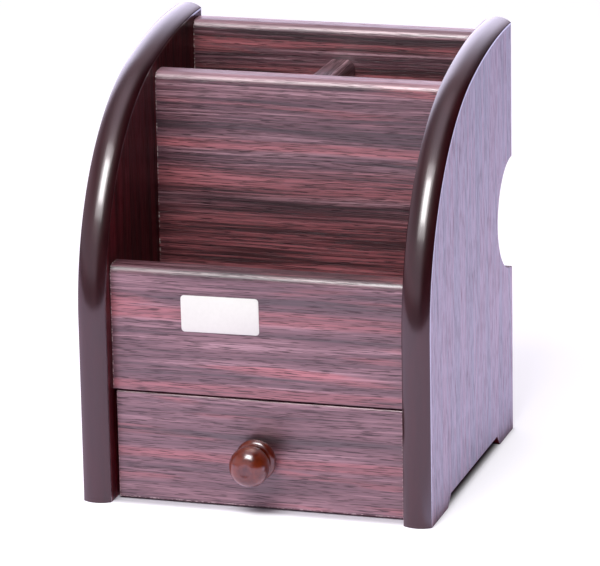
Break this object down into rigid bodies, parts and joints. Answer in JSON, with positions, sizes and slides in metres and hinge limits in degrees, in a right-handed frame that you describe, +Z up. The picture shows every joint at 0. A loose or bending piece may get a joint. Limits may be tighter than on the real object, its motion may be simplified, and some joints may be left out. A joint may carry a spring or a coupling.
{
  "type": "pen stand with drawer",
  "caption": "Desktop pen stand: curved side boards with edge mouldings, one deep front and two rear compartments, and a sliding drawer with a turned knob.",
  "frame": {"origin": "centre of the bounding box on the ground, knob included", "axes": "+X to the right seen from the front, +Y to the back, +Z up; the drawer opens towards -Y"},
  "size_m": [0.15, 0.15, 0.1831],
  "materials": {
    "film_laminate": "satin red-brown wood-grain film on board",
    "edge_moulding": "glossy dark brown",
    "turned_wood": "glossy red-brown lacquer",
    "plain_wood": "raw beech dowel",
    "drawer_board": "satin film on thin fibreboard",
    "hardboard": "smooth brown hardboard",
    "steel": "zinc plated"
  },
  "bodies": {
    "carcass": {"left_side_board": "film_laminate", "right_side_board": "film_laminate", "front_panel": "film_laminate", "middle_panel": "film_laminate", "back_panel": "film_laminate", "rear_divider": "film_laminate", "compartment_floor": "film_laminate", "left_edge_moulding": "edge_moulding", "right_edge_moulding": "edge_moulding", "front_panel_dowels": "plain_wood", "middle_panel_dowels": "plain_wood", "back_panel_dowels": "plain_wood", "floor_dowels": "plain_wood", "divider_dowels": "plain_wood", "base_board": "hardboard"},
    "drawer": {"drawer_front": "film_laminate", "drawer_knob": "turned_wood", "drawer_left_side": "drawer_board", "drawer_right_side": "drawer_board", "drawer_back": "drawer_board", "drawer_bottom": "hardboard", "drawer_front_brads": "steel", "drawer_back_brads": "steel", "knob_screw": "steel"}
  },
  "joints": [
    {"name": "drawer_slide", "type": "slide", "parent": "carcass", "child": "drawer", "axis": [0, -1, 0], "range_m": [0, 0.08]}
  ]
}
